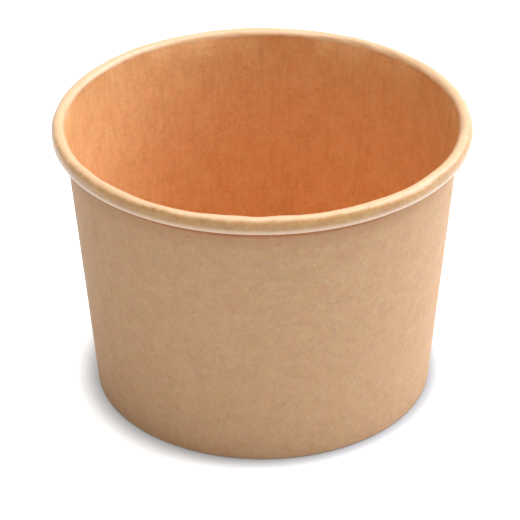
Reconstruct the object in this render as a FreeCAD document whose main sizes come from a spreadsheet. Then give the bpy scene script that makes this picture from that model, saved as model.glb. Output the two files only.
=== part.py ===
import FreeCAD, Part
import math
import os

import Sketcher

# A paper ice cream tub: a cone of paperboard rolled outward at the rim and folded inward at the base,
# and a bottom disc whose turned-down skirt is held in that fold. The origin is the centre of the ring
# that the tub stands on, and +Z goes up its axis. The glued seam faces +X.

# Driving sizes, in millimetres and degrees.
SIZES = (
    ("rim_diameter", "90", "over the rolled rim, where a lid grips"),
    ("tub_height", "63.2", "from the table to the top of the roll"),
    ("wall_slope", "4.85", "of the wall from upright, in degrees"),
    ("wall_board", "0.4", "thickness of the side wall's paperboard"),
    ("roll_width", "3.0", "of the rolled rim, from its outside to the wall's inner face"),
    ("roll_flat", "0.88", "upright run down the outside of the roll, between its bends"),
    ("roll_gap", "0.05", "from the wall to the turned-in paper inside the roll"),
    ("tuck_clearance", "0.1", "by which the last bend is tighter than the inside of the first"),
    ("tuck_headroom", "0.4", "from the last bend up to the roof of the roll"),
    ("roll_tail", "0.3", "flat end of the paper inside the roll"),
    ("fold_radius", "0.1", "inside each of the two bends of the base fold"),
    ("disc_board", "0.35", "thickness of the bottom disc's paperboard"),
    ("disc_height", "6.5", "from the table to the underside of the disc"),
    ("disc_bend", "0.35", "inside the bend where the disc turns down"),
    ("hem_clearance", "1.3", "from the top of the hem up to the disc"),
    ("skirt_clearance", "0.12", "from the bottom of the skirt down to the fold"),
    ("glue_gap", "0.03", "of glue on each side of the skirt"),
    ("lap_width", "6.5", "overlap of the wall's glued seam, just under the rim"),
)

# Sizes that follow from those, as the sheet's own sums.
ROLL_RADIUS = "Sizes.roll_width / 2"
RIM_BEND_RADIUS = f"Sizes.rim_diameter / 2 - {ROLL_RADIUS}"
RIM_BEND_HEIGHT = f"Sizes.tub_height - {ROLL_RADIUS}"
ROLL_INSIDE = f"{ROLL_RADIUS} - Sizes.wall_board"
TUCK_RADIUS = f"{ROLL_INSIDE} - Sizes.tuck_clearance"
TUCK_HEIGHT = f"{RIM_BEND_HEIGHT} + {ROLL_INSIDE} - Sizes.tuck_headroom - ({TUCK_RADIUS})"
UNDER_HEIGHT = f"{RIM_BEND_HEIGHT} - Sizes.roll_flat"
FOLD_HEIGHT = "Sizes.wall_board + Sizes.fold_radius"
HEM_SPACE = "Sizes.disc_board + 2 * Sizes.glue_gap"
HEM_TOP = "Sizes.disc_height - Sizes.hem_clearance"
STEEPNESS = "90 - Sizes.wall_slope"

# An edge's points and the sketch's axes, as a constraint counts them. The origin is the start of the
# level axis.
START, END, CENTRE = range(1, 4)
LEVEL_AXIS, UPRIGHT_AXIS = range(-1, -3, -1)
ORIGIN_POINT = (LEVEL_AXIS, START)

document = FreeCAD.newDocument("paper_tub")
sheet = document.addObject("Spreadsheet::Sheet", "Sizes")
for row, (alias, value, meaning) in enumerate(SIZES, start=1):
    sheet.set(f"A{row}", alias)
    sheet.set(f"B{row}", value)
    sheet.setAlias(f"B{row}", alias)
    sheet.set(f"C{row}", meaning)
document.recompute()


def worth(expression):
    """The number that a sum of the sheet's sizes comes to now."""
    return float(sheet.evalExpression(expression))


# The wall's faces are straight lines of one slope, each at its own distance from the centre of the
# bend that carries the wall over into the roll. Every section is set out from that centre.
SLOPE = math.radians(worth("Sizes.wall_slope"))
UP_THE_WALL = FreeCAD.Vector(math.sin(SLOPE), math.cos(SLOPE), 0)
OUT_OF_THE_WALL = FreeCAD.Vector(math.cos(SLOPE), -math.sin(SLOPE), 0)
OUTWARD = FreeCAD.Vector(1, 0, 0)
UPWARD = FreeCAD.Vector(0, 1, 0)
RIM_BEND = FreeCAD.Vector(worth(RIM_BEND_RADIUS), worth(RIM_BEND_HEIGHT), 0)


def on_wall_line(distance, height):
    """The point at a height on the line that passes inside the rim bend's centre by a distance."""
    beside = RIM_BEND - OUT_OF_THE_WALL * distance
    return beside + UP_THE_WALL * ((height - beside.y) / UP_THE_WALL.y)


def section_sketch(body, name):
    """A sketch on the body's upright plane: its own x is the radius, and its own y is the height."""
    sketch = body.newObject("Sketcher::SketchObject", name)
    upright = [plane for plane in body.Origin.OriginFeatures if plane.Role == "XZ_Plane"][0]
    sketch.AttachmentSupport = (upright, "")
    sketch.MapMode = "FlatFace"
    return sketch


def fix(sketch, kind, *where):
    """Adds a rule of form, such as Vertical or Parallel."""
    sketch.addConstraint(Sketcher.Constraint(kind, *where))


def bind(sketch, name, expression, kind, *where):
    """Adds a dimension that follows the sheet."""
    value = worth(expression)
    if kind == "Angle":
        value = math.radians(value)
    number = sketch.addConstraint(Sketcher.Constraint(kind, *where, value))
    sketch.renameConstraint(number, name)
    sketch.setExpression(f"Constraints.{name}", expression)


def heading_between(first, second):
    """Heading of the run from one stop to the next. A stop is a centre and a radius, which is plus
    for a bend to the left, minus for one to the right and zero for a free end."""
    reach = second[0] - first[0]
    return math.atan2(reach.y, reach.x) - math.asin((second[1] - first[1]) / reach.Length)


def touch_point(stop, heading):
    """Where a run of that heading touches the stop's circle."""
    centre, radius = stop
    left = FreeCAD.Vector(-math.sin(heading), math.cos(heading), 0)
    return centre - left * radius


def draw_face(sketch, stops):
    """Draws one face of a bent sheet, from stop to stop: straight runs joined by tangent bends.
    Returns the runs and the bends, by their numbers in the sketch."""
    headings = [heading_between(first, second) for first, second in zip(stops, stops[1:])]
    runs = []
    for first, second, heading in zip(stops, stops[1:], headings):
        run = Part.LineSegment(touch_point(first, heading), touch_point(second, heading))
        runs.append(sketch.addGeometry(run))
    bends = []
    for number, stop in enumerate(stops[1:-1]):
        centre, radius = stop
        spokes = [touch_point(stop, heading) - centre for heading in headings[number:number + 2]]
        angles = [math.atan2(spoke.y, spoke.x) for spoke in spokes]
        entry, leaving = START, END
        if radius < 0:
            angles.reverse()
            entry, leaving = END, START
        circle = Part.Circle(centre, FreeCAD.Vector(0, 0, 1), abs(radius))
        bend = sketch.addGeometry(Part.ArcOfCircle(circle, *angles))
        fix(sketch, "Tangent", runs[number], END, bend, entry)
        fix(sketch, "Tangent", bend, leaving, runs[number + 1], START)
        bends.append(bend)
    return runs, bends


def cut_edge(sketch, end, first, second):
    """Draws the sheet's cut edge between the ends, or the starts, of two runs."""
    edge = sketch.addGeometry(Part.LineSegment(sketch.getPoint(first, end), sketch.getPoint(second, end)))
    fix(sketch, "Coincident", edge, START, first, end)
    fix(sketch, "Coincident", edge, END, second, end)
    return edge


def place_rim_bend(sketch, edge, point):
    """Puts a point of the sketch at the centre of the rim's first bend."""
    bind(sketch, "rim_bend_radius", RIM_BEND_RADIUS, "DistanceX", *ORIGIN_POINT, edge, point)
    bind(sketch, "rim_bend_height", RIM_BEND_HEIGHT, "DistanceY", *ORIGIN_POINT, edge, point)


def mark_rim_bend(sketch):
    """Adds that centre as a point to measure from, where the sketch has no bend there."""
    mark = sketch.addGeometry(Part.Point(RIM_BEND), True)
    place_rim_bend(sketch, mark, START)
    return mark, START


def revolve(body, name, sketch):
    """Turns a section about the tub's axis."""
    turned = body.newObject("PartDesign::Revolution", name)
    turned.Profile = (sketch, [""])
    turned.ReferenceAxis = (sketch, ["V_Axis"])
    turned.Angle = 360
    return turned


def draw_bent_sheet(body):
    """The side wall's section: hem, base fold, wall and roll, as one strip of even thickness."""
    board = worth("Sizes.wall_board")
    roll = worth(ROLL_RADIUS)
    tuck = worth(TUCK_RADIUS)
    fold = worth("Sizes.fold_radius")
    hem_space = worth(HEM_SPACE)
    rim_radius = worth("Sizes.rim_diameter / 2")
    back = roll - board - worth("Sizes.roll_gap")

    wall_fold = on_wall_line(roll + fold, worth(FOLD_HEIGHT))
    hem_fold = on_wall_line(roll + hem_space - fold, worth(FOLD_HEIGHT))
    hem_end = on_wall_line(roll + hem_space, worth(HEM_TOP))
    beside_back = on_wall_line(back, worth(UNDER_HEIGHT))
    under = (rim_radius - beside_back.x) * UP_THE_WALL.y / (1 + UP_THE_WALL.y)
    under_bend = FreeCAD.Vector(rim_radius - under, beside_back.y, 0)
    tuck_bend = on_wall_line(back - tuck, worth(TUCK_HEIGHT))
    tail_end = tuck_bend + UPWARD * tuck + OUTWARD * worth("Sizes.roll_tail")

    sketch = section_sketch(body, "bent_sheet")
    coated, coated_bends = draw_face(sketch, [
        (hem_end, 0),
        (hem_fold, fold),
        (wall_fold, fold),
        (RIM_BEND, -roll),
        (under_bend, -under),
        (tuck_bend, -tuck),
        (tail_end, 0),
    ])
    plain, plain_bends = draw_face(sketch, [
        (hem_end - OUT_OF_THE_WALL * board, 0),
        (hem_fold, fold + board),
        (wall_fold, fold + board),
        (RIM_BEND, board - roll),
        (under_bend, board - under),
        (tuck_bend, board - tuck),
        (tail_end - UPWARD * board, 0),
    ])
    hem_edge = cut_edge(sketch, START, coated[0], plain[0])
    tail_edge = cut_edge(sketch, END, coated[-1], plain[-1])

    for inner, outer in zip(coated_bends, plain_bends):
        fix(sketch, "Coincident", inner, CENTRE, outer, CENTRE)
    hem, foot, wall, side, return_run, tail = coated
    plain_hem, plain_foot, plain_wall, plain_side, plain_return, plain_tail = plain
    place_rim_bend(sketch, coated_bends[2], CENTRE)
    bind(sketch, "wall_steepness", STEEPNESS, "Angle", wall)
    bind(sketch, "roll_outside", ROLL_RADIUS, "Radius", coated_bends[2])
    bind(sketch, "roll_inside", ROLL_INSIDE, "Radius", plain_bends[2])
    fix(sketch, "Vertical", side)
    fix(sketch, "Vertical", plain_side)
    bind(sketch, "roll_flat", "Sizes.roll_flat", "DistanceY", side, END, side, START)
    fix(sketch, "Parallel", return_run, wall)
    bind(sketch, "roll_gap", "Sizes.roll_gap", "Distance", return_run, START, plain_wall)
    bind(sketch, "tuck_outside", TUCK_RADIUS, "Radius", coated_bends[4])
    bind(sketch, "tuck_inside", f"{TUCK_RADIUS} - Sizes.wall_board", "Radius", plain_bends[4])
    bind(sketch, "tuck_height", TUCK_HEIGHT, "DistanceY", *ORIGIN_POINT, coated_bends[4], CENTRE)
    bind(sketch, "roll_tail", "Sizes.roll_tail", "DistanceX", tail, START, tail, END)
    fix(sketch, "Horizontal", tail)
    fix(sketch, "Horizontal", plain_tail)
    fix(sketch, "Vertical", tail_edge)
    for number, fold_name in enumerate(("hem_fold", "wall_fold")):
        bind(sketch, f"{fold_name}_inside", "Sizes.fold_radius", "Radius", coated_bends[number])
        bind(sketch, f"{fold_name}_outside", FOLD_HEIGHT, "Radius", plain_bends[number])
    fix(sketch, "Horizontal", foot)
    fix(sketch, "PointOnObject", plain_foot, START, LEVEL_AXIS)
    fix(sketch, "Parallel", hem, wall)
    fix(sketch, "Parallel", plain_hem, wall)
    bind(sketch, "hem_space", HEM_SPACE, "Distance", hem, START, wall)
    bind(sketch, "hem_top", HEM_TOP, "DistanceY", *ORIGIN_POINT, hem, START)
    fix(sketch, "Perpendicular", hem_edge, hem)
    return sketch


def draw_lap(body):
    """The seam's section: a second layer of board on the wall's outside, from the foot of the base
    fold up into the roll. Its inner side is sunk to the middle of the sheet that it is glued to."""
    roll = worth(ROLL_RADIUS)
    board = worth("Sizes.wall_board")
    fold_height = worth(FOLD_HEIGHT)
    top = worth(UNDER_HEIGHT)
    lap_face = f"{ROLL_RADIUS} - 2 * Sizes.wall_board"
    lap_root = f"{ROLL_RADIUS} - Sizes.wall_board / 2"
    foot_reach = f"Sizes.wall_board + ({HEM_SPACE}) / 4"
    lap_fold = on_wall_line(worth(lap_face) + fold_height, fold_height)

    sketch = section_sketch(body, "lap_layer")
    mark = mark_rim_bend(sketch)
    (foot, outer), (lap_bend,) = draw_face(sketch, [
        (FreeCAD.Vector(lap_fold.x - worth(foot_reach), 0, 0), 0),
        (lap_fold, fold_height),
        (on_wall_line(roll - 2 * board, top), 0),
    ])
    (inner,), _ = draw_face(sketch, [
        (on_wall_line(worth(lap_root), fold_height), 0),
        (on_wall_line(worth(lap_root), top), 0),
    ])
    cut_edge(sketch, START, foot, inner)
    upper_edge = cut_edge(sketch, END, outer, inner)
    bind(sketch, "lap_steepness", STEEPNESS, "Angle", outer)
    fix(sketch, "Parallel", inner, outer)
    bind(sketch, "lap_face", lap_face, "Distance", *mark, outer)
    bind(sketch, "lap_root", lap_root, "Distance", *mark, inner)
    bind(sketch, "lap_fold", FOLD_HEIGHT, "Radius", lap_bend)
    fix(sketch, "Horizontal", foot)
    fix(sketch, "PointOnObject", foot, START, LEVEL_AXIS)
    bind(sketch, "foot_reach", foot_reach, "DistanceX", foot, START, lap_bend, CENTRE)
    bind(sketch, "root_bottom", FOLD_HEIGHT, "DistanceY", *ORIGIN_POINT, inner, START)
    bind(sketch, "lap_top", UNDER_HEIGHT, "DistanceY", *ORIGIN_POINT, outer, END)
    fix(sketch, "Horizontal", upper_edge)
    return sketch


def make_side_wall():
    """One blank: wrapped, lapped at the seam, rolled at the rim and folded at the base."""
    body = document.addObject("PartDesign::Body", "side_wall")
    body.Label = "side_wall"
    revolve(body, "wrapped_sheet", draw_bent_sheet(body))
    lap = revolve(body, "glued_lap", draw_lap(body))
    lap.Midplane = True
    lap.setExpression("Angle", "Sizes.lap_width / (Sizes.rim_diameter / 2 - Sizes.roll_width) * 180 / pi")
    return body


def make_bottom_disc():
    """A round blank with its edge turned down beside the wall, into the base fold."""
    roll = worth(ROLL_RADIUS)
    board = worth("Sizes.disc_board")
    bend = worth("Sizes.disc_bend")
    underside = worth("Sizes.disc_height")
    skirt = roll + worth("Sizes.glue_gap")
    skirt_bottom = "Sizes.wall_board + Sizes.skirt_clearance"
    disc_bend = on_wall_line(skirt + board + bend, underside - bend)
    skirt_end = on_wall_line(skirt, worth(skirt_bottom))

    body = document.addObject("PartDesign::Body", "bottom_disc")
    body.Label = "bottom_disc"
    sketch = section_sketch(body, "turned_down_disc")
    mark = mark_rim_bend(sketch)
    upper, (upper_bend,) = draw_face(sketch, [
        (skirt_end, 0),
        (disc_bend, bend + board),
        (UPWARD * (underside + board), 0),
    ])
    lower, (lower_bend,) = draw_face(sketch, [
        (skirt_end - OUT_OF_THE_WALL * board, 0),
        (disc_bend, bend),
        (UPWARD * underside, 0),
    ])
    skirt_edge = cut_edge(sketch, START, upper[0], lower[0])
    cut_edge(sketch, END, upper[1], lower[1])
    fix(sketch, "Coincident", upper_bend, CENTRE, lower_bend, CENTRE)
    bind(sketch, "bend_inside", "Sizes.disc_bend", "Radius", lower_bend)
    bind(sketch, "bend_outside", "Sizes.disc_bend + Sizes.disc_board", "Radius", upper_bend)
    for run in (upper[1], lower[1]):
        fix(sketch, "Horizontal", run)
        fix(sketch, "PointOnObject", run, END, UPRIGHT_AXIS)
    bind(sketch, "disc_height", "Sizes.disc_height", "DistanceY", *ORIGIN_POINT, lower[1], END)
    bind(sketch, "skirt_steepness", STEEPNESS, "Angle", upper[0])
    fix(sketch, "Parallel", lower[0], upper[0])
    bind(sketch, "skirt_seat", f"{ROLL_RADIUS} + Sizes.glue_gap", "Distance", *mark, upper[0])
    bind(sketch, "skirt_bottom", skirt_bottom, "DistanceY", *ORIGIN_POINT, upper[0], START)
    fix(sketch, "Perpendicular", skirt_edge, upper[0])
    revolve(body, "pressed_disc", sketch)
    return body


pieces = [make_side_wall(), make_bottom_disc()]
document.recompute()

for item in document.Objects:
    if "Invalid" in item.State or "Error" in item.State:
        raise SystemExit(f"{item.Label} failed: {item.State}")
    if item.isDerivedFrom("Sketcher::SketchObject") and item.solve() != 0:
        raise SystemExit(f"the sketch {item.Label} can't be solved")
for piece in pieces:
    if piece.Shape.isNull() or not piece.Shape.isValid() or len(piece.Shape.Solids) != 1:
        raise SystemExit(f"{piece.Label} is not one sound solid")

os.makedirs("parts", exist_ok=True)
for piece in pieces:
    piece.Shape.exportStep(f"parts/{piece.Label}.step")
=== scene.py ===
import bpy
import math
from mathutils import Matrix, Vector


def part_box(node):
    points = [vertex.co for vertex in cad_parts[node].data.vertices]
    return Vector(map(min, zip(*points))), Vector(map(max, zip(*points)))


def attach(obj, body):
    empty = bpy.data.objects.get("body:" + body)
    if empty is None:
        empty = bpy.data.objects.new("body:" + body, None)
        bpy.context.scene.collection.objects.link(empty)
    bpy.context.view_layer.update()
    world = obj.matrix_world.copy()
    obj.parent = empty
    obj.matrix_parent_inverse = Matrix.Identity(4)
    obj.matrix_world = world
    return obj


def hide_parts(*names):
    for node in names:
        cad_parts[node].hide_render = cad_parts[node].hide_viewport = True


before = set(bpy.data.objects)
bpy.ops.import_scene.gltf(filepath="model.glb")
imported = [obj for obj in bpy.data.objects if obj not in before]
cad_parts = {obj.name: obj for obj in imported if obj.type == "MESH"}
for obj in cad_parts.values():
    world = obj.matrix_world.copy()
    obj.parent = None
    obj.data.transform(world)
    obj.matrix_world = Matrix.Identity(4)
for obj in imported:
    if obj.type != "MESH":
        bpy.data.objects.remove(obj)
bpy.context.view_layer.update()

# The sheet: one blank of brown kraft board, wrapped into a cone and glued at an upright lap. Its top
# edge is rolled outward into the rim and its bottom edge is folded inward as a hem, so the coated
# inner face is what shows on the roll, and the plain face shows outside and on the hem.

MM = 0.001
wall_low, wall_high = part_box("side_wall")
rim_radius = (wall_high[0] - wall_low[0]) / 2
tub_height = wall_high[2]
wall_slope = math.radians(4.85)
board = 0.4 * MM
roll_radius = 1.5 * MM
roll_flat = 0.88 * MM
roll_gap = 0.05 * MM
tuck_radius = 1.0 * MM
tuck_drop = 0.3 * MM
tuck_height = tub_height - roll_radius - tuck_drop
roll_tail = 0.3 * MM
fold_radius = 0.1 * MM
hem_space = 0.41 * MM
hem_top = 5.2 * MM

# Round the tub the sheet is counted in columns of faces.
columns = 720
lap_columns = 18
ramp_columns = 8
step_columns = 0.06
lap_stop = 2.6 * MM
lump_height = 0.22 * MM
lump_length = 11 * MM
lump_seed = 4.0
rib_columns = 4
rib_depth = 0.05 * MM
mean_radius = rim_radius - 2 * roll_radius

up_the_wall = Vector((math.sin(wall_slope), math.cos(wall_slope)))
out_of_the_wall = Vector((math.cos(wall_slope), -math.sin(wall_slope)))
rim_bend = Vector((rim_radius - roll_radius, tub_height - roll_radius))


def on_wall_line(distance, height):
    """The point at a height on the line that passes inside the rim bend's centre by a distance."""
    beside = rim_bend - out_of_the_wall * distance
    return beside + up_the_wall * ((height - beside.y) / up_the_wall.y)


def lay_out_strip(stops, zones, run_steps, bend_steps):
    """Points along the middle of a bent strip, from stop to stop. A stop is a centre and a radius:
    plus for a bend to the left, minus for one to the right, zero for an end. Each point comes with
    the way to the strip's right-hand face, how far along it is, and its zone."""
    headings = []
    for (start, start_radius), (end, end_radius) in zip(stops, stops[1:]):
        reach = end - start
        lean = math.asin((end_radius - start_radius) / reach.length)
        headings.append(math.atan2(reach.y, reach.x) - lean)
    points = []
    for number, heading in enumerate(headings):
        left = Vector((-math.sin(heading), math.cos(heading)))
        first = stops[number][0] - left * stops[number][1]
        last = stops[number + 1][0] - left * stops[number + 1][1]
        for step in range(run_steps[number] + 1):
            points.append((first.lerp(last, step / run_steps[number]), heading, zones[2 * number]))
        if number + 1 < len(headings):
            centre, radius = stops[number + 1]
            turn = headings[number + 1] - heading
            turn = (turn + math.pi) % math.tau - math.pi
            if turn * radius < 0:
                turn += math.copysign(math.tau, radius)
            for step in range(1, bend_steps[number]):
                angle = heading + turn * step / bend_steps[number]
                left = Vector((-math.sin(angle), math.cos(angle)))
                points.append((centre - left * radius, angle, zones[2 * number + 1]))
    strip = []
    along = 0.0
    for number, (place, heading, zone) in enumerate(points):
        if number:
            along += (place - points[number - 1][0]).length
        right = Vector((math.sin(heading), -math.cos(heading)))
        strip.append((place, right, along, zone))
    return strip


def strip_outline(name, strip, thickness):
    """A closed outline round the strip in the XZ plane: up its left face and back down its right one.
    Each point carries what the sweep needs to know of it, as attributes."""
    points = [(place - right * thickness / 2, right, along, zone, 0.0)
              for place, right, along, zone in strip]
    points += [(place + right * thickness / 2, right, along, zone, 1.0)
               for place, right, along, zone in reversed(strip)]
    mesh = bpy.data.meshes.new(name)
    count = len(points)
    mesh.from_pydata([(p[0].x, 0, p[0].y) for p in points],
                     [(number, (number + 1) % count) for number in range(count)], [])
    layers = {
        "spot": ("FLOAT_VECTOR", "vector", [(p[0].x, 0, p[0].y) for p in points]),
        "to_plain_face": ("FLOAT_VECTOR", "vector", [(p[1].x, 0, p[1].y) for p in points]),
        "along": ("FLOAT", "value", [p[2] for p in points]),
        "zone": ("FLOAT", "value", [p[3] for p in points]),
        "plain": ("FLOAT", "value", [p[4] for p in points]),
    }
    for layer, (kind, field, values) in layers.items():
        attribute = mesh.attributes.new(layer, kind, "POINT")
        for item, value in zip(attribute.data, values):
            setattr(item, field, value)
    return mesh


fold_height = board + fold_radius
back = roll_radius - board - roll_gap
beside_back = on_wall_line(back, tub_height - roll_radius - roll_flat)
under_radius = (rim_radius - beside_back.x) * up_the_wall.y / (1 + up_the_wall.y)
middle = board / 2
# Zones: 0 hem, 1 base fold, 2 wall, 3 the roll where it shows, 4 the roll's inside.
wall_strip = lay_out_strip(
    [
        (on_wall_line(roll_radius + hem_space + middle, hem_top), 0),
        (on_wall_line(roll_radius + hem_space - fold_radius, fold_height), fold_radius + middle),
        (on_wall_line(roll_radius + fold_radius, fold_height), fold_radius + middle),
        (rim_bend, middle - roll_radius),
        (Vector((rim_radius - under_radius, beside_back.y)), middle - under_radius),
        (on_wall_line(back - tuck_radius, tuck_height), middle - tuck_radius),
        (on_wall_line(back - tuck_radius, tuck_height) + Vector((roll_tail, tuck_radius - middle)), 0),
    ],
    zones=(0, 1, 1, 1, 2, 3, 3, 3, 4, 4, 4),
    run_steps=(5, 1, 12, 2, 2, 1),
    bend_steps=(4, 4, 16, 12, 6),
)


class Number:
    """A socket that carries a number, so that a chain of Math nodes reads as a sum."""

    def __init__(self, tree, socket):
        self.tree = tree
        self.socket = socket

    def maths(self, operation, *values):
        """A Math node that takes these values."""
        node = self.tree.nodes.new("ShaderNodeMath")
        node.operation = operation
        for place, value in zip(node.inputs, values):
            connect(self.tree, value, place)
        return Number(self.tree, node.outputs[0])

    def __add__(self, other):
        return self.maths("ADD", self, other)

    def __radd__(self, other):
        return self.maths("ADD", other, self)

    def __sub__(self, other):
        return self.maths("SUBTRACT", self, other)

    def __rsub__(self, other):
        return self.maths("SUBTRACT", other, self)

    def __mul__(self, other):
        return self.maths("MULTIPLY", self, other)

    def __truediv__(self, other):
        return self.maths("DIVIDE", self, other)

    def __rtruediv__(self, other):
        return self.maths("DIVIDE", other, self)

    def __gt__(self, other):
        return self.maths("GREATER_THAN", self, other)

    def __lt__(self, other):
        return self.maths("LESS_THAN", self, other)

    def sine(self):
        return self.maths("SINE", self)

    def cosine(self):
        return self.maths("COSINE", self)

    def size(self):
        return self.maths("ABSOLUTE", self)

    def or_more(self, other):
        """The greater of this number and another."""
        return self.maths("MAXIMUM", self, other)

    def ramp(self, low, high):
        """0 below low, 1 above high and a smooth rise between them."""
        node = self.tree.nodes.new("ShaderNodeMapRange")
        node.interpolation_type = "SMOOTHSTEP"
        for place, value in zip(node.inputs, (self, low, high, 0.0, 1.0)):
            connect(self.tree, value, place)
        return Number(self.tree, node.outputs[0])


def connect(tree, value, place):
    """Links a socket or a Number to an input, or sets the input to a plain value."""
    if isinstance(value, Number):
        value = value.socket
    if isinstance(value, bpy.types.NodeSocket):
        tree.links.new(value, place)
    else:
        place.default_value = value


class Wiring:
    """A node tree as it is filled in."""

    def __init__(self, tree):
        self.tree = tree
        tree.nodes.clear()

    def node(self, kind, settings=None, sockets=None):
        """Adds a node: its settings first, then the values or links of its sockets, by name or
        number. A name means the first input of that name that the settings leave in use."""
        node = self.tree.nodes.new(kind)
        for name, value in (settings or {}).items():
            setattr(node, name, value)
        for name, value in (sockets or {}).items():
            if isinstance(name, int):
                place = node.inputs[name]
            else:
                place = [item for item in node.inputs if item.name == name and item.enabled][0]
            connect(self.tree, value, place)
        return node

    def output(self, kind, settings=None, sockets=None, output=0):
        """Adds a node and returns one of its output sockets."""
        node = self.node(kind, settings, sockets)
        if isinstance(output, int):
            return node.outputs[output]
        return [item for item in node.outputs if item.name == output and item.enabled][0]

    def number(self, kind, settings=None, sockets=None, output=0):
        """Adds a node and returns one of its outputs as a Number."""
        return Number(self.tree, self.output(kind, settings, sockets, output))


def as_written(red, green, blue):
    """A colour given as a screen shows it, 0 to 255, as the linear light that a shader takes."""
    channels = [channel / 255 for channel in (red, green, blue)]
    return tuple(c / 12.92 if c <= 0.04045 else ((c + 0.055) / 1.055) ** 2.4 for c in channels)


sweep = bpy.data.node_groups.new("wrap_the_strip", "GeometryNodeTree")
sweep_inputs = {}
for name, kind in (
    ("Outline", "NodeSocketGeometry"), ("Columns", "NodeSocketInt"), ("Board", "NodeSocketFloat"),
    ("Lap Columns", "NodeSocketInt"), ("Ramp Columns", "NodeSocketInt"),
    ("Step Columns", "NodeSocketFloat"), ("Mean Radius", "NodeSocketFloat"),
    ("Lap Ends Below", "NodeSocketFloat"), ("Lump Height", "NodeSocketFloat"),
    ("Lump Length", "NodeSocketFloat"), ("Rib Columns", "NodeSocketInt"),
    ("Rib Depth", "NodeSocketFloat"), ("Hem Top", "NodeSocketFloat"), ("Seed", "NodeSocketFloat"),
    ("Coated Face", "NodeSocketMaterial"), ("Plain Face", "NodeSocketMaterial"),
    ("Cut Edge", "NodeSocketMaterial"),
):
    sweep_inputs[name] = sweep.interface.new_socket(name, in_out="INPUT", socket_type=kind).identifier
sweep.interface.new_socket("Geometry", in_out="OUTPUT", socket_type="NodeSocketGeometry")

wiring = Wiring(sweep)
given = wiring.node("NodeGroupInput").outputs


def given_number(name):
    """One of the tree's own named inputs."""
    return Number(sweep, given[name])


def carried(name, kind="FLOAT"):
    """A field that the outline or the ring of columns carries."""
    return wiring.output("GeometryNodeInputNamedAttribute", {"data_type": kind}, {"Name": name},
                         "Attribute")


def as_vector(x, y, z):
    return wiring.output("ShaderNodeCombineXYZ", None, {0: x, 1: y, 2: z})


ring = wiring.output("GeometryNodeCurvePrimitiveCircle", {"mode": "RADIUS"},
                     {"Resolution": given_number("Columns") + 1, "Radius": 1.0})
ring = wiring.output("GeometryNodeStoreNamedAttribute", {"data_type": "FLOAT", "domain": "POINT"}, {
    "Geometry": ring, "Name": "column", "Value": wiring.output("GeometryNodeInputIndex")})
outline_curve = wiring.output("GeometryNodeMeshToCurve", None, {"Mesh": given["Outline"]})
wrapped = wiring.output("GeometryNodeCurveToMesh", None,
                        {"Curve": ring, "Profile Curve": outline_curve, "Fill Caps": False})

column = Number(sweep, carried("column"))
zone = Number(sweep, carried("zone"))
plain = Number(sweep, carried("plain"))
along = Number(sweep, carried("along"))
spot = wiring.node("ShaderNodeSeparateXYZ", None, {0: carried("spot", "FLOAT_VECTOR")})
way = wiring.node("ShaderNodeSeparateXYZ", None, {0: carried("to_plain_face", "FLOAT_VECTOR")})
radius = Number(sweep, spot.outputs["X"])
height = Number(sweep, spot.outputs["Z"])

# The column after the lap's cut edge is drawn back to it, so that the edge stands square.
column_count = given_number("Columns")
lap_end = given_number("Lap Columns")
after_edge = (column > lap_end + 0.5) * (column < lap_end + 1.5)
turned = column - after_edge * (1 - given_number("Step Columns")) - lap_end / 2
angle = turned * math.tau / column_count

# Where the sheet's last columns come round they climb on to the first ones, which they are glued to.
climb = (column - column_count + given_number("Ramp Columns")) / given_number("Ramp Columns")
climb = climb.ramp(0, 1)
under_lap = column < lap_end + 0.5
lap_top = given_number("Lap Ends Below")

# Inside, the lap shows only as a faint step on the wall and a slight kink on the roll.
lap_fades_over = 0.8 * MM
kink_starts_below = 1.5 * MM
kink_full_above = 0.5 * MM
faint_step = 0.15
slight_kink = 0.3
off_the_table = height.ramp(0, fold_height)
outer_lift = climb.or_more(under_lap)
outer_weight = (zone > 0.5) * (zone < 2.5) * off_the_table \
    * (1 - height.ramp(lap_top - lap_fades_over, lap_top))
rolled_over = height.ramp(lap_top - kink_starts_below, lap_top + kink_full_above)
after_climb = climb.or_more(1 - (column / given_number("Ramp Columns")).ramp(0, 1))
inner_weight = (zone > 0.5) * off_the_table
inner_lift = climb * (1 - rolled_over) * faint_step \
    + after_climb * rolled_over * (zone < 3.5) * slight_kink
lap_lift = given_number("Board") * (
    plain * outer_lift * outer_weight + (1 - plain) * inner_lift * inner_weight)

# The roll is lumpy, because board can't stretch evenly: soft waves, and flats between creases. The
# lumps are less inside the roll, and greater on the half that faces the tub's middle.
lumps_start_below = 0.2 * MM
lumps_full_above = 1.2 * MM
less_inside_the_roll = 0.7
more_on_the_inner_half = 0.5
inner_half = (rim_bend.x - 1 * MM, rim_bend.x + 0.5 * MM)
along_stretch = 4
wave_mean = 0.5
wave_share = 1.6
flat_mean = 0.45
flat_share = 0.8
flats_to_a_wave = 1.6
on_roll = (zone > 2.5) * (1 - (zone > 3.5) * less_inside_the_roll) \
    * height.ramp(lap_top - lumps_start_below, lap_top + lumps_full_above)
ring_place = as_vector(angle.cosine() * rim_radius, angle.sine() * rim_radius, along * along_stretch)
waves = wiring.number("ShaderNodeTexNoise", {"noise_dimensions": "4D"}, {
    "Vector": ring_place, "W": given_number("Seed"), "Scale": 1 / given_number("Lump Length"),
    "Detail": 1.5, "Roughness": 0.5}, 0)
flats = wiring.number("ShaderNodeTexVoronoi", {"voronoi_dimensions": "4D", "feature": "SMOOTH_F1"}, {
    "Vector": ring_place, "W": given_number("Seed"), "Scale": flats_to_a_wave / given_number("Lump Length"),
    "Smoothness": 0.15}, "Distance")
inner_lumps = 1 + (1 - radius.ramp(*inner_half)) * more_on_the_inner_half
unevenness = (wave_mean - waves) * wave_share + (flats - flat_mean) * flat_share
lump_lift = given_number("Lump Height") * on_roll * inner_lumps * unevenness

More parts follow.
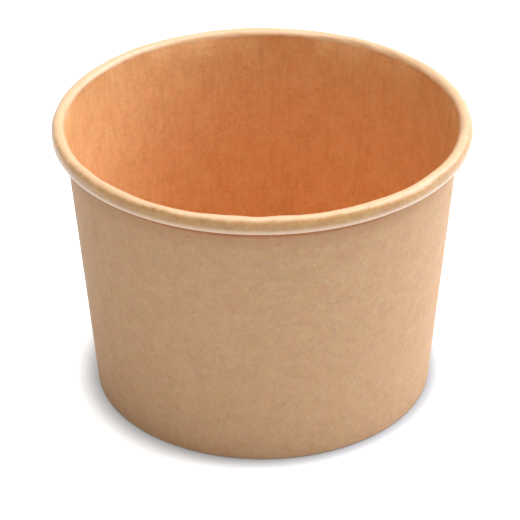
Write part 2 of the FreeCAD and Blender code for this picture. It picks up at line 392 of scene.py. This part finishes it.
# The hem is pressed on to the skirt by a knurled wheel, which leaves it ribbed, apart from its ends.
ribs_begin = (0.12, 0.3)
ribs_end = (0.85, 0.97)
hem_height = given_number("Hem Top")
on_hem = plain * (zone < 0.5) * height.ramp(hem_height * ribs_begin[0], hem_height * ribs_begin[1]) \
    * (1 - height.ramp(hem_height * ribs_end[0], hem_height * ribs_end[1]))
rib_turn = column * math.tau / given_number("Rib Columns")
rib_lift = given_number("Rib Depth") * on_hem * rib_turn.cosine()

lift = lap_lift + lump_lift + rib_lift
radius = radius + Number(sweep, way.outputs["X"]) * lift
height = height + Number(sweep, way.outputs["Z"]) * lift
place = as_vector(radius * angle.cosine(), radius * angle.sine(), height)
wrapped = wiring.output("GeometryNodeSetPosition", None, {"Geometry": wrapped, "Position": place})
sheet_map = as_vector(turned * math.tau / column_count * given_number("Mean Radius"), along, 0.0)
wrapped = wiring.output("GeometryNodeStoreNamedAttribute", {"data_type": "FLOAT2", "domain": "CORNER"},
                        {"Geometry": wrapped, "Name": "sheet", "Value": sheet_map})

# Faces between the two ends' columns, and between the strip's two faces, are cut edges.
at_lap_edge = (column > lap_end + 0.4) * (column < lap_end + 0.6) * (zone > 0.5) * (zone < 2.5)
at_first_edge = (column > column_count / 2 - 0.1) * (column < column_count / 2 + 0.1) * (plain > 0.1)
mixed = (plain > 0.1) * (plain < 0.9)
cut = (at_lap_edge * plain).or_more(at_first_edge.or_more(mixed))
on_faces = {"data_type": "FLOAT", "domain": "FACE"}
wrapped = wiring.output("GeometryNodeStoreNamedAttribute", on_faces,
                        {"Geometry": wrapped, "Name": "cut", "Value": cut})
wrapped = wiring.output("GeometryNodeStoreNamedAttribute", on_faces,
                        {"Geometry": wrapped, "Name": "outside", "Value": plain > 0.5})
same_place = 1e-6
sharp_fold = math.radians(50)
wrapped = wiring.output("GeometryNodeMergeByDistance", None, {"Geometry": wrapped, "Distance": same_place})
fold_angle = wiring.number("GeometryNodeInputMeshEdgeAngle", None, None, "Unsigned Angle")
wrapped = wiring.output("GeometryNodeSetShadeSmooth", {"domain": "FACE"},
                        {"Geometry": wrapped, "Shade Smooth": True})
wrapped = wiring.output("GeometryNodeSetShadeSmooth", {"domain": "EDGE"}, {
    "Geometry": wrapped, "Selection": fold_angle > sharp_fold, "Shade Smooth": False})
wrapped = wiring.output("GeometryNodeRealizeInstances", None, {"Geometry": wrapped})
is_cut = Number(sweep, carried("cut")) > 0.5
is_outside = Number(sweep, carried("outside")) > 0.5
for selection, finish in ((True, "Coated Face"), (is_outside, "Plain Face"), (is_cut, "Cut Edge")):
    wrapped = wiring.output("GeometryNodeSetMaterial", None,
                            {"Geometry": wrapped, "Selection": selection, "Material": given[finish]})
wiring.node("NodeGroupOutput", None, {0: wrapped})


def wrap(name, outline, sizes):
    """Sweeps an outline round the axis and returns the result as a plain mesh object."""
    former = bpy.data.objects.new(name + "_outline", outline)
    bpy.context.scene.collection.objects.link(former)
    modifier = former.modifiers.new("wrap", "NODES")
    modifier.node_group = sweep
    for socket, value in sizes.items():
        modifier[sweep_inputs[socket]] = value
    bpy.context.view_layer.update()
    finished = former.evaluated_get(bpy.context.evaluated_depsgraph_get())
    mesh = bpy.data.meshes.new_from_object(finished)
    former.modifiers.remove(modifier)
    bpy.data.objects.remove(former)
    mesh.name = name
    for layer in ("spot", "to_plain_face", "along", "zone", "plain", "column", "cut", "outside"):
        if layer in mesh.attributes:
            mesh.attributes.remove(mesh.attributes[layer])
    piece = bpy.data.objects.new(name, mesh)
    bpy.context.scene.collection.objects.link(piece)
    return piece


def paper(name):
    """A new material and its wiring."""
    material = bpy.data.materials.new(name)
    material.use_nodes = True
    return material, Wiring(material.node_tree)


def noise(wiring, place, size, detail=2.0, roughness=0.5, seed=0.0, stretch=(1, 1, 1)):
    """A smooth random number from 0 to 1, whose blotches are about size millimetres across."""
    place = wiring.output("ShaderNodeVectorMath", {"operation": "MULTIPLY"}, {0: place, 1: stretch})
    return wiring.number("ShaderNodeTexNoise", {"noise_dimensions": "4D"}, {
        "Vector": place, "W": seed, "Scale": 1 / size, "Detail": detail, "Roughness": roughness})


most_bow = 1.6
soft_side = 0.4
soft_end = 0.7


def fibres(wiring, place, spacing, length, width, share, seed):
    """Short curved fibres, one to each cell of a random pattern, lying every way on the sheet."""
    elsewhere = (seed * 17.3, seed * 9.1, 0)
    shifted = wiring.output("ShaderNodeVectorMath", {"operation": "ADD"}, {0: place, 1: elsewhere})
    cells = wiring.node("ShaderNodeTexVoronoi", {"voronoi_dimensions": "2D", "feature": "F1"},
                        {"Vector": shifted, "Scale": 1 / spacing})
    offset = wiring.output("ShaderNodeVectorMath", {"operation": "SUBTRACT"}, {
        0: shifted, 1: cells.outputs["Position"]})
    parts = wiring.node("ShaderNodeSeparateXYZ", None, {0: offset})
    x = Number(wiring.tree, parts.outputs[0])
    y = Number(wiring.tree, parts.outputs[1])
    chance = wiring.node("ShaderNodeSeparateColor", None, {0: cells.outputs["Color"]})
    turn = Number(wiring.tree, chance.outputs[0]) * math.tau
    bow = (Number(wiring.tree, chance.outputs[1]) - 0.5) * most_bow / length
    pick = Number(wiring.tree, chance.outputs[2])
    cosine = turn.cosine()
    sine = turn.sine()
    lengthways = x * cosine + y * sine
    crossways = y * cosine - x * sine + lengthways * lengthways * bow
    in_width = 1 - crossways.size().ramp(width * soft_side, width)
    in_length = 1 - lengthways.size().ramp(length / 2 * soft_end, length / 2)
    return in_width * in_length * (pick < share)


def mix(wiring, share, first, second):
    """Two colours mixed by a share of the second."""
    return wiring.output("ShaderNodeMix", {"data_type": "RGBA"},
                         {"Factor": share, "A": first, "B": second}, "Result")


def opaque(colour):
    return (*colour, 1.0)


def finish_board(wiring, colour, height, gloss):
    """The shader: a colour, a bump from a height in millimetres, and the sockets that set the gloss."""
    bump = wiring.output("ShaderNodeBump", None, {"Height": height, "Distance": MM, "Strength": 1.0},
                         "Normal")
    sockets = {"Base Color": colour, "Normal": bump}
    sockets.update(gloss)
    shader = wiring.output("ShaderNodeBsdfPrincipled", None, sockets)
    wiring.node("ShaderNodeOutputMaterial", None, {"Surface": shader})


def how_far_along(spot):
    """How far along the strip a spot is, in millimetres."""
    return min(wall_strip, key=lambda station: (station[0] - spot).length)[2] / MM


roll_start = how_far_along(rim_bend - out_of_the_wall * (roll_radius - middle))
flat_end = how_far_along(Vector((rim_radius - middle, beside_back.y)))


def in_millimetres(wiring, place):
    return wiring.output("ShaderNodeVectorMath", {"operation": "SCALE"}, {0: place, "Scale": 1 / MM})


def sheet_place(wiring):
    """A surface's place on the flat sheet, in millimetres."""
    return in_millimetres(wiring, wiring.output("ShaderNodeUVMap", {"uv_map": "sheet"}))


def object_place(wiring):
    """A surface's place in the tub, in millimetres."""
    return in_millimetres(wiring, wiring.output("ShaderNodeTexCoord", None, None, "Object"))


def how_high(wiring, place):
    """How far up the flat sheet a place is, as a Number."""
    return Number(wiring.tree, wiring.node("ShaderNodeSeparateXYZ", None, {0: place}).outputs[1])


# How strongly each kind of pulp and fibre shows in the colour, and how high it stands, in millimetres.
deep_share = 0.85
rosy_share = 0.45
dark_grain_share = 0.26
pale_grain_share = 0.2
fine_dark_share = 0.28
fine_pale_share = 0.3
long_dark_share = 0.6
grain_height = 0.012
mottle_height = 0.02
fine_fibre_height = 0.006
long_fibre_height = 0.008
tint_size = 2.2


def kraft(wiring, place, tones, seed, spread):
    """Brown kraft: clouds and mottle from the pulp, dark and pale fibres, and a spread of faint tints.
    Returns the colour and the height of its surface."""
    base, deep, rosy, dark, pale = (opaque(as_written(*tone)) for tone in tones)
    clouds = noise(wiring, place, size=5.0, detail=3.0, roughness=0.55, seed=seed)
    mottle = noise(wiring, place, size=1.3, detail=2.0, roughness=0.6, seed=seed + 3)
    hue = noise(wiring, place, size=2.6, detail=2.0, roughness=0.5, seed=seed + 7)
    grain = noise(wiring, place, size=0.28, detail=2.0, roughness=0.6, seed=seed + 11)
    patches = (clouds * 0.5 + mottle * 0.5).ramp(0.36, 0.66)
    colour = mix(wiring, patches * deep_share, base, deep)
    colour = mix(wiring, hue.ramp(0.42, 0.68) * rosy_share, colour, rosy)
    colour = mix(wiring, grain.ramp(0.5, 0.75) * dark_grain_share, colour, dark)
    colour = mix(wiring, (1 - grain.ramp(0.25, 0.5)) * pale_grain_share, colour, pale)
    fine_dark = fibres(wiring, place, spacing=1.1, length=0.8, width=0.045, share=0.5, seed=seed + 1)
    fine_pale = fibres(wiring, place, spacing=1.0, length=0.8, width=0.05, share=0.5, seed=seed + 2)
    long_dark = fibres(wiring, place, spacing=4.3, length=1.3, width=0.08, share=0.3, seed=seed + 4)
    colour = mix(wiring, fine_dark * fine_dark_share, colour, dark)
    colour = mix(wiring, fine_pale * fine_pale_share, colour, pale)
    colour = mix(wiring, long_dark * long_dark_share, colour, dark)
    tint = wiring.output("ShaderNodeTexNoise", {"noise_dimensions": "4D"}, {
        "Vector": place, "W": seed + 15, "Scale": 1 / tint_size, "Detail": 4.0, "Roughness": 0.8}, "Color")
    tint = wiring.output("ShaderNodeVectorMath", {"operation": "MULTIPLY_ADD"}, {
        0: tint, 1: (spread, spread, spread * 2), 2: (1 - spread / 2, 1 - spread / 2, 1 - spread)})
    colour = wiring.output("ShaderNodeVectorMath", {"operation": "MULTIPLY"}, {0: colour, 1: tint})
    height = grain * grain_height + mottle * mottle_height \
        + (fine_dark + fine_pale) * fine_fibre_height + long_dark * long_fibre_height
    return colour, height


# The coated face: warm and smooth inside the tub; over the roll paler, partly its own tone and partly a
# painted highlight, and glossier; brown and mottled down the roll's outer side; and a painted highlight
# line where the roll turns under, for light bounced up from the table. Tones are given as base, deep,
# rosy, dark and pale, and places along the sheet in millimetres.
inside_tones = ((226, 173, 117), (213, 155, 97), (228, 160, 105), (142, 84, 44), (245, 199, 147))
rolled_tones = ((186, 142, 86), (166, 120, 68), (184, 134, 80), (118, 76, 42), (222, 184, 130))
streak_tone = as_written(192, 130, 74)
pale_roll_tone_and_painted_highlight = as_written(206, 170, 132)
painted_bounce_highlight_tone = as_written(226, 200, 176)
inside_spread = 0.11
rolled_spread = 0.3
coated_seed = 20.0
streak_share = 0.2
pale_roll_and_painted_highlight_share = 0.7
painted_bounce_highlight_share = 0.6
ragged_by = 1.6
roll_shows = (roll_start - 0.3, roll_start + 0.5)
brown_shows = (roll_start + 2.3, roll_start + 3.4)
painted_bounce_highlight_starts = (flat_end - 0.5, flat_end + 0.5)
painted_bounce_highlight_stops = (flat_end + 1.0, flat_end + 1.8)
coated_relief = 0.5
streak_height = 0.01
wrinkle_height = 0.12
roll_coat = 0.45

coated_face, wiring = paper("coated_kraft")
place = sheet_place(wiring)
inside_colour, relief = kraft(wiring, place, inside_tones, coated_seed, inside_spread)
rolled_colour = kraft(wiring, place, rolled_tones, coated_seed, rolled_spread)[0]
streaks = noise(wiring, place, size=0.9, seed=31.0, stretch=(1, 0.12, 1))
inside_colour = mix(wiring, streaks.ramp(0.45, 0.7) * streak_share, inside_colour, opaque(streak_tone))
along_sheet = how_high(wiring, place)
raggedness = noise(wiring, place, size=3.0, detail=3.0, roughness=0.65, seed=37.0) - 0.5
ragged = along_sheet + raggedness * ragged_by
rolled = ragged.ramp(*roll_shows)
# Painted highlight: a paler tone over the roll, partly the coat's own tone and partly standing in for the
# lamps' gloss.
colour = mix(wiring, rolled * pale_roll_and_painted_highlight_share, inside_colour, opaque(pale_roll_tone_and_painted_highlight))
colour = mix(wiring, ragged.ramp(*brown_shows), colour, rolled_colour)
# Painted highlight: a pale line where the roll turns under, standing in for light bounced up from the white
# table.
painted_bounce_highlight = along_sheet.ramp(*painted_bounce_highlight_starts) * (1 - along_sheet.ramp(*painted_bounce_highlight_stops))
colour = mix(wiring, painted_bounce_highlight * painted_bounce_highlight_share, colour, opaque(painted_bounce_highlight_tone))
wrinkles = noise(wiring, place, size=1.1, roughness=0.55, seed=33.0, stretch=(1, 0.6, 1))
relief = relief * coated_relief + streaks * streak_height + wrinkles * rolled * wrinkle_height
finish_board(wiring, colour, relief, {
    "Roughness": 0.45, "Specular IOR Level": 0.3,
    "Coat Weight": rolled * roll_coat, "Coat Roughness": 0.32})

# The plain face: dull and fibrous. Painted shade darkens it under the roll, and a painted dark red-brown
# shade line lies in the crease against it.
plain_tones = ((197, 158, 119), (187, 146, 106), (197, 153, 115), (134, 94, 60), (217, 184, 145))
painted_shade_tone = as_written(150, 100, 66)
painted_crease_shade_tone = as_written(150, 74, 30)
plain_spread = 0.32
plain_seed = 0.0
painted_shade_share = 0.32
painted_crease_shade_share = 0.68
painted_shade_grows = (roll_start - 9, roll_start - 3)
painted_crease_shade_grows = (roll_start - 4.5, roll_start - 3.5)

plain_face, wiring = paper("plain_kraft")
place = sheet_place(wiring)
colour, relief = kraft(wiring, place, plain_tones, plain_seed, plain_spread)
along_sheet = how_high(wiring, place)
# Painted shade: the roll's shadow on the wall below it, then a narrower, deeper shade line in the crease
# under the roll.
colour = mix(wiring, along_sheet.ramp(*painted_shade_grows) * painted_shade_share, colour, opaque(painted_shade_tone))
colour = mix(wiring, along_sheet.ramp(*painted_crease_shade_grows) * painted_crease_shade_share, colour, opaque(painted_crease_shade_tone))
finish_board(wiring, colour, relief, {"Roughness": 0.6, "Specular IOR Level": 0.1})

# The cut edges: bare pulp, a little fuzzy.
cut_deep_tone = as_written(178, 130, 90)
cut_pale_tone = as_written(214, 170, 126)
fuzz_height = 0.05

cut_face, wiring = paper("cut_kraft")
place = object_place(wiring)
fuzz = noise(wiring, place, size=0.15, roughness=0.6, seed=2.0)
colour = mix(wiring, fuzz.ramp(0.3, 0.7), opaque(cut_deep_tone), opaque(cut_pale_tone))
finish_board(wiring, colour, fuzz * fuzz_height, {"Roughness": 0.8})

side_wall = wrap("side_wall_sheet", strip_outline("side_wall_outline", wall_strip, board), {
    "Columns": columns, "Board": board, "Lap Columns": lap_columns, "Ramp Columns": ramp_columns,
    "Step Columns": step_columns, "Mean Radius": mean_radius, "Lap Ends Below": tub_height - lap_stop,
    "Lump Height": lump_height, "Lump Length": lump_length, "Rib Columns": rib_columns,
    "Rib Depth": rib_depth, "Hem Top": hem_top, "Seed": lump_seed,
    "Coated Face": coated_face, "Plain Face": plain_face, "Cut Edge": cut_face,
})
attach(side_wall, "root")
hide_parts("side_wall")

# The bottom: a round blank of the same coated kraft board, with its edge turned down as a skirt, which
# the hem grips. It stays as the solid has it, coated side up.

disc_seed = 40.0
disc_face, wiring = paper("coated_kraft_disc")
place = object_place(wiring)
colour, relief = kraft(wiring, place, inside_tones, disc_seed, inside_spread)
finish_board(wiring, colour, relief * coated_relief, {"Roughness": 0.45, "Specular IOR Level": 0.3})
bottom_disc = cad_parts["bottom_disc"]
bottom_disc.data.materials.clear()
bottom_disc.data.materials.append(disc_face)

# The stand: a white table and backdrop, lit through cloth by three soft boxes. One is overhead, the
# strongest and slightly cool one is up to the right, and a weak one low in front fills the shade.

table_side = 4.0
table_mesh = bpy.data.meshes.new("table")
half = table_side / 2
table_corners = [(-half, -half, 0), (half, -half, 0), (half, half, 0), (-half, half, 0)]
table_mesh.from_pydata(table_corners, [], [(0, 1, 2, 3)])
table = bpy.data.objects.new("table", table_mesh)
bpy.context.scene.collection.objects.link(table)
table_finish = bpy.data.materials.new("white_table")
table_finish.use_nodes = True
wiring = Wiring(table_finish.node_tree)


def seen_rays(wiring):
    """1 for the rays that show the backdrop: the camera's, and what gloss or glass passes on."""
    rays = wiring.node("ShaderNodeLightPath")
    seen = Number(wiring.tree, rays.outputs["Is Camera Ray"])
    for kind in ("Is Glossy Ray", "Is Transmission Ray"):
        seen = seen.or_more(Number(wiring.tree, rays.outputs[kind]))
    return seen


# As seen, the table is lifted to the backdrop's white, and darkened with a painted contact shadow where the
# tub stands close over it.
table_lift = 0.62
table_white = 0.88
contact_reach = 9 * MM
contact_open = (0.35, 1.0)
painted_contact_shadow_depth = 0.74
# Painted shadow: ambient occlusion darkens the table as seen near the tub's base, on top of its real
# shadow.
closed_in = wiring.number("ShaderNodeAmbientOcclusion", {"samples": 16}, {"Distance": contact_reach}, "AO")
painted_contact_shadow = 1 - (1 - closed_in.ramp(*contact_open)) * painted_contact_shadow_depth
shade = 1 - (1 - painted_contact_shadow) * seen_rays(wiring)
cloth_colour = wiring.output("ShaderNodeVectorMath", {"operation": "SCALE"}, {
    0: (table_white, table_white, table_white), "Scale": shade})
cloth_white = wiring.output("ShaderNodeBsdfDiffuse", None, {"Color": cloth_colour})
glow = wiring.output("ShaderNodeEmission", None, {
    "Color": (1, 1, 1, 1), "Strength": seen_rays(wiring) * painted_contact_shadow * table_lift})
lit = wiring.output("ShaderNodeAddShader", None, {0: cloth_white, 1: glow})
wiring.node("ShaderNodeOutputMaterial", None, {"Surface": lit})
table_mesh.materials.append(table_finish)

world = bpy.data.worlds.new("studio")
bpy.context.scene.world = world
world.use_nodes = True
wiring = Wiring(world.node_tree)
fill_strength = 0.03
dim = wiring.output("ShaderNodeBackground", None, {"Color": (1, 1, 1, 1), "Strength": fill_strength})
white = wiring.output("ShaderNodeBackground", None, {"Color": (1, 1, 1, 1), "Strength": 1.0})
shown = wiring.output("ShaderNodeMixShader", None, {0: seen_rays(wiring), 1: dim, 2: white})
wiring.node("ShaderNodeOutputWorld", None, {"Surface": shown})

camera_azimuth = math.radians(-17)
subject = Vector((0, 0, tub_height / 2))


def studio_way(azimuth, elevation):
    """The way to a lamp or the camera from the tub, with azimuth 0 towards the camera, 90 to its
    right, in degrees."""
    turn = math.radians(azimuth) + camera_azimuth
    rise = math.radians(elevation)
    return Vector((math.sin(turn) * math.cos(rise), -math.cos(turn) * math.cos(rise), math.sin(rise)))


lamp_distance = 1.6
watts_a_square_metre = 4


def soft_box(name, azimuth, elevation, half_angle, brightness):
    """A square lamp behind cloth, turned to face the tub, which sees it as wide as twice half_angle
    and so many times as bright as white paper."""
    side = 2 * lamp_distance * math.tan(math.radians(half_angle))
    light = bpy.data.lights.new(name, "AREA")
    light.shape = "SQUARE"
    light.size = side
    light.energy = brightness * watts_a_square_metre * side * side
    lamp = bpy.data.objects.new(name, light)
    away = studio_way(azimuth, elevation)
    facing = away.to_track_quat("Z", "Y").to_matrix().to_4x4()
    lamp.matrix_world = Matrix.Translation(subject + away * lamp_distance) @ facing
    lamp.visible_camera = False
    bpy.context.scene.collection.objects.link(lamp)
    return lamp


slightly_cool = (0.94, 1.02, 1.17)
soft_box("overhead_box", azimuth=-130, elevation=84, half_angle=25, brightness=3.3)
key_box = soft_box("key_box", azimuth=107, elevation=41, half_angle=24, brightness=4.6)
key_box.data.color = slightly_cool
soft_box("fill_box", azimuth=0, elevation=12, half_angle=24, brightness=0.84)

# The camera: a long lens, looking down at the tub as the photograph does.

sensor_width = 36.0
frame_width = 520
focal_pixels = 2552.0
camera_distance = 0.561
camera_elevation = 30.4
camera_roll = math.radians(-0.3)
subject_right_pixels = 2.7
subject_up_pixels = 15.9

camera_data = bpy.data.cameras.new("camera")
camera_data.sensor_width = sensor_width
camera_data.lens = focal_pixels / frame_width * sensor_width
camera = bpy.data.objects.new("camera", camera_data)
bpy.context.scene.collection.objects.link(camera)
bpy.context.scene.camera = camera
back_way = studio_way(0, camera_elevation)
camera_place = subject + back_way * camera_distance
rotation = back_way.to_track_quat("Z", "Y").to_matrix().to_4x4()
rotation = rotation @ Matrix.Rotation(camera_roll, 4, "Z")
rotation = rotation @ Matrix.Rotation(subject_right_pixels / focal_pixels, 4, "Y")
rotation = rotation @ Matrix.Rotation(-subject_up_pixels / focal_pixels, 4, "X")
camera.matrix_world = Matrix.Translation(camera_place) @ rotation

bpy.context.scene.view_settings.view_transform = "Standard"
